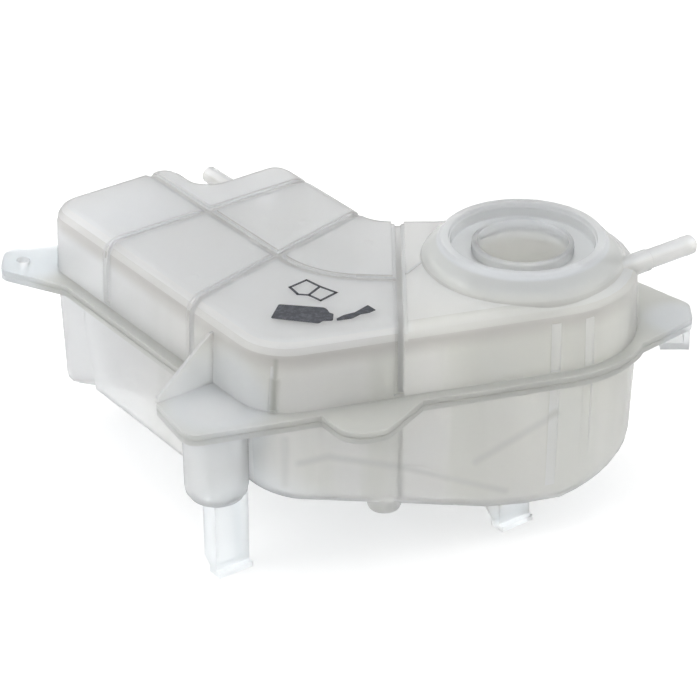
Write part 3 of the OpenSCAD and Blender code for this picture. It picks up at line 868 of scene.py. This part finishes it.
@dataclass
class RoofPrint:
    """The ink on the roof: a plain two-panel frame, a dark tag with a short spout and a curved stroke."""

    thick: float = 0.05
    sunk: float = 0.02
    line_width: float = 1.4
    tag_round: float = 1.0
    stroke_round: float = 0.5
    left_panel: Sequence[Point] = (
        (-116.0, -32.7), (-108.0, -25.3), (-101.3, -32.0), (-106.7, -40.7), (-112.0, -40.0), (-116.0, -32.7),
    )
    right_panel: Sequence[Point] = ((-101.3, -32.0), (-93.2, -38.2), (-100.8, -46.3), (-106.7, -40.7))
    tag: Sequence[Point] = (
        (-124.7, -64.0), (-121.2, -50.1), (-99.1, -53.3), (-97.4, -55.3), (-96.5, -58.8), (-94.4, -59.5),
        (-94.7, -66.6), (-99.5, -66.6), (-101.4, -69.3), (-110.5, -67.2),
    )
    stroke: Sequence[Point] = (
        (-93.0, -64.4), (-89.6, -60.9), (-84.1, -58.1), (-79.2, -52.4), (-77.8, -50.9), (-73.9, -55.9),
        (-77.2, -58.8), (-81.3, -60.2), (-85.5, -64.4), (-92.8, -66.6),
    )

    def slab(self, work: bmesh.types.BMesh, outline: Sequence[Point], rounding: float = 0.0) -> None:
        """Adds one closed field of ink.

        Args:
            work: The mesh that takes it.
            outline: Its corners in millimetres.
            rounding: How far each corner is rounded.
        """
        low = (ROOF_Z - self.sunk) * MM
        corners = [work.verts.new((x * MM, y * MM, low)) for x, y in outline]
        face = work.faces.new(corners)
        if rounding > 0:
            round_off(work, corners, rounding, "VERTICES")
            work.faces.ensure_lookup_table()
            face = work.faces[-1]
        grown = bmesh.ops.extrude_face_region(work, geom=[face], use_keep_orig=True)
        tops = [item for item in grown["geom"] if isinstance(item, bmesh.types.BMVert)]
        bmesh.ops.translate(work, verts=tops, vec=(0.0, 0.0, (self.thick + self.sunk) * MM))

    def line(self, work: bmesh.types.BMesh, start: Point, end: Point) -> None:
        """Adds one straight ink line, which reaches half its width past both ends.

        Args:
            work: The mesh that takes it.
            start: One end in millimetres.
            end: The other end.
        """
        over = (Vector(end) - Vector(start)).normalized() * self.line_width / 2
        side = Vector((-over.y, over.x))
        first = Vector(start) - over
        last = Vector(end) + over
        self.slab(work, [tuple(corner) for corner in (first - side, last - side, last + side, first + side)])

    def build(self, ink: bpy.types.Material) -> List[bpy.types.Object]:
        """Makes the three prints.

        Args:
            ink: The ink's material.

        Returns:
            The print objects.
        """
        panels = bmesh.new()
        for path in (self.left_panel, self.right_panel):
            for start, end in zip(path, path[1:]):
                self.line(panels, start, end)
        tag = bmesh.new()
        self.slab(tag, self.tag, self.tag_round)
        stroke = bmesh.new()
        self.slab(stroke, self.stroke, self.stroke_round)
        pieces = []
        for work, shape in ((panels, "frame"), (tag, "tag"), (stroke, "stroke")):
            name = "roof_print_" + shape
            bmesh.ops.recalc_face_normals(work, faces=work.faces)
            pieces.append(dress(stand(name, to_mesh(work, name)), ink))
        return pieces


@dataclass
class RoofRib:
    """The low moulded rib on the roof of the neck arm."""

    start: Point = (-58.7, -18.9)
    end: Point = (-42.6, 6.7)
    width: float = 1.3
    rise: float = 0.45
    sunk: float = 0.6
    rounding: float = 0.35

    def build(self, finish: bpy.types.Material) -> bpy.types.Object:
        """Makes the rib, with rounded edges and its foot inside the roof.

        Args:
            finish: The milky material.

        Returns:
            The rib.
        """
        run = Vector(self.end) - Vector(self.start)
        middle = (Vector(self.end) + Vector(self.start)) / 2
        tall = self.rise + self.sunk
        work = bmesh.new()
        bmesh.ops.create_cube(work, size=1.0)
        bmesh.ops.scale(work, verts=work.verts, vec=(run.length * MM, self.width * MM, tall * MM))
        round_off(work, work.edges[:], self.rounding, "EDGES")
        turn = Matrix.Rotation(math.atan2(run.y, run.x), 3, "Z")
        bmesh.ops.rotate(work, verts=work.verts, cent=(0.0, 0.0, 0.0), matrix=turn)
        lift = ROOF_Z + self.rise - tall / 2
        bmesh.ops.translate(work, verts=work.verts, vec=Vector((middle.x, middle.y, lift)) * MM)
        for face in work.faces:
            face.smooth = True
        return dress(stand("roof_rib", to_mesh(work, "roof_rib")), finish)


@dataclass
class SensorPin:
    """One of the level sensor's metal pins, which keeps the CAD node's own mesh."""

    node: str

    def build(self, finish: bpy.types.Material) -> bpy.types.Object:
        """Dresses the pin.

        Args:
            finish: The steel's material.

        Returns:
            The pin.
        """
        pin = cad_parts[self.node]
        pin.data.materials.clear()
        pin.data.materials.append(finish)
        return pin


@dataclass
class Studio:
    """A pale floor, soft lamps and the camera."""

    floor_z: float = -144.8
    floor_half_width_m: float = 6.0
    paper_tone: Colour = (0.86, 0.86, 0.86)
    paper_glow: float = 0.38
    world_level: float = 0.70
    camera_at: Spot = (-86.5, -1200.1, 624.2)
    pitch_deg: float = 29.8
    lens: float = 138.86
    sensor: float = 36.0
    nearest_m: float = 0.05
    lamp_width_m: float = 0.9
    lamp_aim_m: Spot = (-0.09, 0.0, -0.06)
    side_lamp_rise: float = 0.55
    lamps: Dict[Side, Tuple[float, float]] = field(default_factory=lambda: {
        Side.TOP: (900.0, 3.6),
        Side.LEFT: (1000.0, 3.9),
        Side.FRONT: (1100.0, 0.8),
        Side.RIGHT: (1000.0, 1.8),
    })

    def floor(self) -> None:
        """Lays the floor, which shows white to the camera and keeps the shadow."""
        work = bmesh.new()
        bmesh.ops.create_grid(work, x_segments=2, y_segments=2, size=self.floor_half_width_m)
        bmesh.ops.translate(work, verts=work.verts, vec=(0.0, 0.0, self.floor_z * MM))
        piece = stand("studio_floor", to_mesh(work, "studio_floor"))
        sheet = Sheet("floor_paper")
        paper = sheet.add("BsdfDiffuse")
        paper.inputs["Color"].default_value = (*self.paper_tone, 1.0)
        glow = sheet.add("Emission")
        glow.inputs["Color"].default_value = (1.0, 1.0, 1.0, 1.0)
        sheet.join(sheet.overlap(sheet.directly_seen(), self.paper_glow), glow.inputs["Strength"])
        both = sheet.add("AddShader")
        sheet.join(paper.outputs["BSDF"], both.inputs[0])
        sheet.join(glow.outputs["Emission"], both.inputs[1])
        sheet.join(both.outputs["Shader"], sheet.output.inputs["Surface"])
        piece.data.materials.append(sheet.material)

    def world(self) -> None:
        """Lights the room evenly and shows it white."""
        world = bpy.data.worlds.new("studio_air")
        bpy.context.scene.world = world
        tree = Tree(world, "OutputWorld")
        air = tree.add("Background")
        tree.join(tree.span(tree.directly_seen(), 0.0, 1.0, self.world_level, 1.0), air.inputs["Strength"])
        tree.join(air.outputs["Background"], tree.output.inputs["Surface"])

    def lamp(self, side: Side, reach: float, power: float) -> None:
        """Hangs one soft lamp that looks at the tank.

        Args:
            side: Where it stands.
            reach: Its distance in millimetres.
            power: Its power in watts.
        """
        name = "lamp_" + side.name.lower()
        data = bpy.data.lights.new(name, "AREA")
        data.shape = "SQUARE"
        data.size = self.lamp_width_m
        data.energy = power
        lamp = stand(name, data)
        aim = Vector(self.lamp_aim_m)
        rise = 1.0 if side is Side.TOP else self.side_lamp_rise
        lamp.location = aim + Vector((*side.value, rise)).normalized() * reach * MM
        lamp.rotation_euler = (aim - lamp.location).to_track_quat("-Z", "Y").to_euler()

    def camera(self) -> None:
        """Sets up the photograph's camera."""
        data = bpy.data.cameras.new("photo_camera")
        data.lens = self.lens
        data.sensor_width = self.sensor
        data.clip_start = self.nearest_m
        camera = stand("photo_camera", data)
        camera.location = Vector(self.camera_at) * MM
        camera.rotation_euler = (math.radians(90.0 - self.pitch_deg), 0.0, 0.0)
        bpy.context.scene.camera = camera

    def build(self) -> None:
        """Sets up floor, room, lamps, camera and the plain view transform."""
        bpy.context.scene.view_settings.view_transform = "Standard"
        self.floor()
        self.world()
        for side, (reach, power) in self.lamps.items():
            self.lamp(side, reach, power)
        self.camera()


def main() -> None:
    """Builds the studio, both shells, the ink and the pins."""
    logging.basicConfig(level=logging.INFO, format="%(name)s: %(message)s")
    Studio().build()
    LOG.info("studio ready")
    plastic = MilkyPlastic().build()
    for node in ("upper_shell", "lower_shell"):
        piece = Moulding(node).build(plastic)
        LOG.info("%s has %d faces", piece.name, len(piece.data.polygons))
    LOG.info("%s placed", RoofRib().build(plastic).name)
    for piece in RoofPrint().build(RoofInk().build()):
        LOG.info("%s placed", piece.name)
    steel = PinSteel().build()
    for node in ("sensor_pin_near", "sensor_pin_far"):
        LOG.info("%s dressed", SensorPin(node).build(steel).name)
    bpy.context.view_layer.update()


if __name__ == "__main__":
    main()
